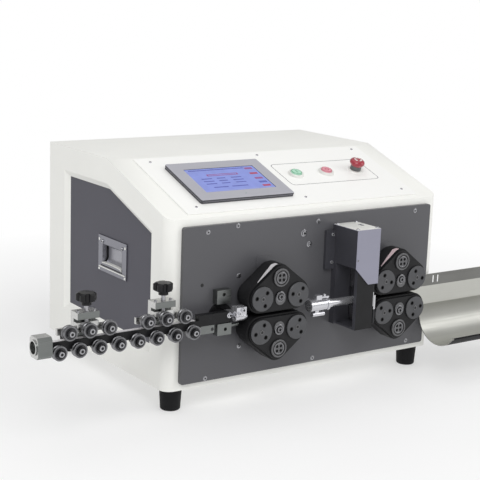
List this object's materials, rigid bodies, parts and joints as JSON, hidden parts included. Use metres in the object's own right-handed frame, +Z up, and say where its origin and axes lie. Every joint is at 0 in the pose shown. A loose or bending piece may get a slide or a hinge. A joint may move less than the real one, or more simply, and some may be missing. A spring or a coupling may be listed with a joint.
{
  "type": "wire cutting stripping machine",
  "caption": "Bench machine that straightens, feeds, cuts and strips wire, with a roller straightener, belt feeds, blade head, touch panel and wire tray.",
  "frame": {"origin": "middle of the whole machine's outline, on the floor under the feet", "axes": "+X along the wire's way from straightener to tray, +Y to the back of the cabinet, +Z up"},
  "size_m": [1.1282, 0.5594, 0.411],
  "materials": {
    "cabinet_paint": "satin",
    "plate_paint": "satin",
    "panel_paint": "satin",
    "face_paint": "satin",
    "foot_rubber": "matte",
    "handle_chrome": "polished",
    "bezel_plastic": "satin",
    "green_plastic": "gloss",
    "red_plastic": "gloss",
    "black_metal": "satin",
    "bright_aluminium": "satin",
    "knob_plastic": "satin",
    "roller_steel": "satin",
    "tube_chrome": "polished",
    "belt_rubber": "satin",
    "pulley_aluminium": "anodised",
    "cover_paint": "satin",
    "tool_steel": "ground",
    "tray_steel": "brushed",
    "drive_paint": "satin",
    "electronics_case": "matte"
  },
  "bodies": {
    "machine": {"housing_shell": "cabinet_paint", "front_plate": "plate_paint", "access_panels": "panel_paint", "feet": "foot_rubber", "handles": "handle_chrome", "control_plate": "face_paint", "touch_panel": "bezel_plastic", "straightener_bar": "black_metal", "straightener_blocks": "bright_aluminium", "inlet_guide": "tube_chrome", "lower_carriages": "black_metal", "lower_belts": "belt_rubber", "cutter_frame": "black_metal", "cutter_cover": "cover_paint", "wire_tray": "tray_steel", "drive_units": "drive_paint", "electronics": "electronics_case"},
    "lower_roller_1": {"lower_roller_1": "roller_steel"},
    "lower_roller_2": {"lower_roller_2": "roller_steel"},
    "lower_roller_3": {"lower_roller_3": "roller_steel"},
    "lower_roller_4": {"lower_roller_4": "roller_steel"},
    "lower_roller_5": {"lower_roller_5": "roller_steel"},
    "lower_roller_6": {"lower_roller_6": "roller_steel"},
    "lower_roller_7": {"lower_roller_7": "roller_steel"},
    "lower_roller_8": {"lower_roller_8": "roller_steel"},
    "left_carrier": {"left_roller_carrier": "bright_aluminium"},
    "left_knob": {"left_knob": "knob_plastic"},
    "left_roller_1": {"left_roller_1": "roller_steel"},
    "left_roller_2": {"left_roller_2": "roller_steel"},
    "left_roller_3": {"left_roller_3": "roller_steel"},
    "right_carrier": {"right_roller_carrier": "bright_aluminium"},
    "right_knob": {"right_knob": "knob_plastic"},
    "right_roller_1": {"right_roller_1": "roller_steel"},
    "right_roller_2": {"right_roller_2": "roller_steel"},
    "right_roller_3": {"right_roller_3": "roller_steel"},
    "left_upper_feed": {"left_upper_carriage": "black_metal", "left_upper_belt": "belt_rubber"},
    "left_lower_drive": {"left_lower_drive": "pulley_aluminium"},
    "left_lower_inlet_pulley": {"left_lower_inlet_pulley": "pulley_aluminium"},
    "left_lower_outlet_pulley": {"left_lower_outlet_pulley": "pulley_aluminium"},
    "left_upper_drive": {"left_upper_drive": "pulley_aluminium"},
    "left_upper_inlet_pulley": {"left_upper_inlet_pulley": "pulley_aluminium"},
    "left_upper_outlet_pulley": {"left_upper_outlet_pulley": "pulley_aluminium"},
    "right_upper_feed": {"right_upper_carriage": "black_metal", "right_upper_belt": "belt_rubber"},
    "right_lower_drive": {"right_lower_drive": "pulley_aluminium"},
    "right_lower_inlet_pulley": {"right_lower_inlet_pulley": "pulley_aluminium"},
    "right_lower_outlet_pulley": {"right_lower_outlet_pulley": "pulley_aluminium"},
    "right_upper_drive": {"right_upper_drive": "pulley_aluminium"},
    "right_upper_inlet_pulley": {"right_upper_inlet_pulley": "pulley_aluminium"},
    "right_upper_outlet_pulley": {"right_upper_outlet_pulley": "pulley_aluminium"},
    "guide_tube": {"guide_tube": "tube_chrome"},
    "upper_cutter": {"upper_blade_holder": "tool_steel", "upper_blade": "tool_steel"},
    "lower_cutter": {"lower_blade_holder": "tool_steel", "lower_blade": "tool_steel"},
    "cutter_screw": {"cutter_screw": "tool_steel"},
    "start_button": {"start_button": "green_plastic"},
    "stop_button": {"stop_button": "red_plastic"},
    "emergency_stop": {"emergency_stop": "red_plastic"}
  },
  "joints": [
    {"name": "lower_roller_1_spin", "type": "hinge", "parent": "machine", "child": "lower_roller_1", "pos_m": [-0.52005, -0.21728, 0.15725], "axis": [0, 1, 0], "continuous": true},
    {"name": "lower_roller_2_spin", "type": "hinge", "parent": "machine", "child": "lower_roller_2", "pos_m": [-0.48545, -0.21728, 0.15725], "axis": [0, 1, 0], "continuous": true},
    {"name": "lower_roller_3_spin", "type": "hinge", "parent": "machine", "child": "lower_roller_3", "pos_m": [-0.45085, -0.21728, 0.15725], "axis": [0, 1, 0], "continuous": true},
    {"name": "lower_roller_4_spin", "type": "hinge", "parent": "machine", "child": "lower_roller_4", "pos_m": [-0.41625, -0.21728, 0.15725], "axis": [0, 1, 0], "continuous": true},
    {"name": "lower_roller_5_spin", "type": "hinge", "parent": "machine", "child": "lower_roller_5", "pos_m": [-0.38165, -0.21728, 0.15725], "axis": [0, 1, 0], "continuous": true},
    {"name": "lower_roller_6_spin", "type": "hinge", "parent": "machine", "child": "lower_roller_6", "pos_m": [-0.34705, -0.21728, 0.15725], "axis": [0, 1, 0], "continuous": true},
    {"name": "lower_roller_7_spin", "type": "hinge", "parent": "machine", "child": "lower_roller_7", "pos_m": [-0.31245, -0.21728, 0.15725], "axis": [0, 1, 0], "continuous": true},
    {"name": "lower_roller_8_spin", "type": "hinge", "parent": "machine", "child": "lower_roller_8", "pos_m": [-0.27785, -0.21728, 0.15725], "axis": [0, 1, 0], "continuous": true},
    {"name": "left_carrier_slide", "type": "slide", "parent": "machine", "child": "left_carrier", "axis": [0, 0, 1], "range_m": [-0.005, 0.004]},
    {"name": "left_knob_turn", "type": "hinge", "parent": "left_carrier", "child": "left_knob", "pos_m": [-0.46815, -0.20578, 0.222], "axis": [0, 0, 1], "range_deg": [-1450, 1160]},
    {"name": "left_roller_1_spin", "type": "hinge", "parent": "left_carrier", "child": "left_roller_1", "pos_m": [-0.50275, -0.21728, 0.18675], "axis": [0, 1, 0], "continuous": true},
    {"name": "left_roller_2_spin", "type": "hinge", "parent": "left_carrier", "child": "left_roller_2", "pos_m": [-0.46815, -0.21728, 0.18675], "axis": [0, 1, 0], "continuous": true},
    {"name": "left_roller_3_spin", "type": "hinge", "parent": "left_carrier", "child": "left_roller_3", "pos_m": [-0.43355, -0.21728, 0.18675], "axis": [0, 1, 0], "continuous": true},
    {"name": "right_carrier_slide", "type": "slide", "parent": "machine", "child": "right_carrier", "axis": [0, 0, 1], "range_m": [-0.005, 0.004]},
    {"name": "right_knob_turn", "type": "hinge", "parent": "right_carrier", "child": "right_knob", "pos_m": [-0.32975, -0.20578, 0.222], "axis": [0, 0, 1], "range_deg": [-1450, 1160]},
    {"name": "right_roller_1_spin", "type": "hinge", "parent": "right_carrier", "child": "right_roller_1", "pos_m": [-0.36435, -0.21728, 0.18675], "axis": [0, 1, 0], "continuous": true},
    {"name": "right_roller_2_spin", "type": "hinge", "parent": "right_carrier", "child": "right_roller_2", "pos_m": [-0.32975, -0.21728, 0.18675], "axis": [0, 1, 0], "continuous": true},
    {"name": "right_roller_3_spin", "type": "hinge", "parent": "right_carrier", "child": "right_roller_3", "pos_m": [-0.29515, -0.21728, 0.18675], "axis": [0, 1, 0], "continuous": true},
    {"name": "left_upper_lift", "type": "slide", "parent": "machine", "child": "left_upper_feed", "axis": [0, 0, 1], "range_m": [0, 0.015]},
    {"name": "left_lower_drive_spin", "type": "hinge", "parent": "machine", "child": "left_lower_drive", "pos_m": [-0.11245, -0.21728, 0.1095], "axis": [0, 1, 0], "continuous": true},
    {"name": "left_lower_inlet_pulley_spin", "type": "hinge", "parent": "machine", "child": "left_lower_inlet_pulley", "pos_m": [-0.14995, -0.21728, 0.143], "axis": [0, 1, 0], "continuous": true},
    {"name": "left_lower_outlet_pulley_spin", "type": "hinge", "parent": "machine", "child": "left_lower_outlet_pulley", "pos_m": [-0.07495, -0.21728, 0.143], "axis": [0, 1, 0], "continuous": true},
    {"name": "left_upper_drive_spin", "type": "hinge", "parent": "left_upper_feed", "child": "left_upper_drive", "pos_m": [-0.11245, -0.21728, 0.2345], "axis": [0, 1, 0], "continuous": true},
    {"name": "left_upper_inlet_pulley_spin", "type": "hinge", "parent": "left_upper_feed", "child": "left_upper_inlet_pulley", "pos_m": [-0.14995, -0.21728, 0.201], "axis": [0, 1, 0], "continuous": true},
    {"name": "left_upper_outlet_pulley_spin", "type": "hinge", "parent": "left_upper_feed", "child": "left_upper_outlet_pulley", "pos_m": [-0.07495, -0.21728, 0.201], "axis": [0, 1, 0], "continuous": true},
    {"name": "right_upper_lift", "type": "slide", "parent": "machine", "child": "right_upper_feed", "axis": [0, 0, 1], "range_m": [0, 0.015]},
    {"name": "right_lower_drive_spin", "type": "hinge", "parent": "machine", "child": "right_lower_drive", "pos_m": [0.16055, -0.21728, 0.1095], "axis": [0, 1, 0], "continuous": true},
    {"name": "right_lower_inlet_pulley_spin", "type": "hinge", "parent": "machine", "child": "right_lower_inlet_pulley", "pos_m": [0.12305, -0.21728, 0.143], "axis": [0, 1, 0], "continuous": true},
    {"name": "right_lower_outlet_pulley_spin", "type": "hinge", "parent": "machine", "child": "right_lower_outlet_pulley", "pos_m": [0.19805, -0.21728, 0.143], "axis": [0, 1, 0], "continuous": true},
    {"name": "right_upper_drive_spin", "type": "hinge", "parent": "right_upper_feed", "child": "right_upper_drive", "pos_m": [0.16055, -0.21728, 0.2345], "axis": [0, 1, 0], "continuous": true},
    {"name": "right_upper_inlet_pulley_spin", "type": "hinge", "parent": "right_upper_feed", "child": "right_upper_inlet_pulley", "pos_m": [0.12305, -0.21728, 0.201], "axis": [0, 1, 0], "continuous": true},
    {"name": "right_upper_outlet_pulley_spin", "type": "hinge", "parent": "right_upper_feed", "child": "right_upper_outlet_pulley", "pos_m": [0.19805, -0.21728, 0.201], "axis": [0, 1, 0], "continuous": true},
    {"name": "tube_swing", "type": "hinge", "parent": "machine", "child": "guide_tube", "pos_m": [-0.02595, -0.17028, 0.172], "axis": [0, -1, 0], "range_deg": [0, 12]},
    {"name": "upper_blade_slide", "type": "slide", "parent": "machine", "child": "upper_cutter", "axis": [0, 0, 1], "range_m": [-0.011, 0]},
    {"name": "lower_blade_slide", "type": "slide", "parent": "machine", "child": "lower_cutter", "axis": [0, 0, 1], "range_m": [0, 0.011]},
    {"name": "cutter_screw_turn", "type": "hinge", "parent": "machine", "child": "cutter_screw", "pos_m": [0.07805, -0.13628, 0.172], "axis": [0, 0, 1], "range_deg": [-400, 0]},
    {"name": "start_button_press", "type": "slide", "parent": "machine", "child": "start_button", "axis": [0, 0.3321, -0.9432], "range_m": [0, 0.003], "stiffness_N_per_m": 600},
    {"name": "stop_button_press", "type": "slide", "parent": "machine", "child": "stop_button", "axis": [0, 0.3321, -0.9432], "range_m": [0, 0.003], "stiffness_N_per_m": 600},
    {"name": "emergency_stop_press", "type": "slide", "parent": "machine", "child": "emergency_stop", "axis": [0, 0.3321, -0.9432], "range_m": [0, 0.003]}
  ],
  "couplings": [
    {"joint": "left_knob_turn", "follows": "left_carrier_slide", "rad_per_m": 5026.5},
    {"joint": "right_knob_turn", "follows": "right_carrier_slide", "rad_per_m": 5026.5},
    {"joint": "left_lower_inlet_pulley_spin", "follows": "left_lower_drive_spin", "ratio": 0.825},
    {"joint": "left_lower_outlet_pulley_spin", "follows": "left_lower_drive_spin", "ratio": 0.825},
    {"joint": "left_upper_drive_spin", "follows": "left_lower_drive_spin", "ratio": -1},
    {"joint": "left_upper_inlet_pulley_spin", "follows": "left_lower_drive_spin", "ratio": -0.825},
    {"joint": "left_upper_outlet_pulley_spin", "follows": "left_lower_drive_spin", "ratio": -0.825},
    {"joint": "right_lower_inlet_pulley_spin", "follows": "right_lower_drive_spin", "ratio": 0.825},
    {"joint": "right_lower_outlet_pulley_spin", "follows": "right_lower_drive_spin", "ratio": 0.825},
    {"joint": "right_upper_drive_spin", "follows": "right_lower_drive_spin", "ratio": -1},
    {"joint": "right_upper_inlet_pulley_spin", "follows": "right_lower_drive_spin", "ratio": -0.825},
    {"joint": "right_upper_outlet_pulley_spin", "follows": "right_lower_drive_spin", "ratio": -0.825},
    {"joint": "lower_blade_slide", "follows": "upper_blade_slide", "ratio": -1},
    {"joint": "cutter_screw_turn", "follows": "upper_blade_slide", "rad_per_m": 628.32}
  ]
}
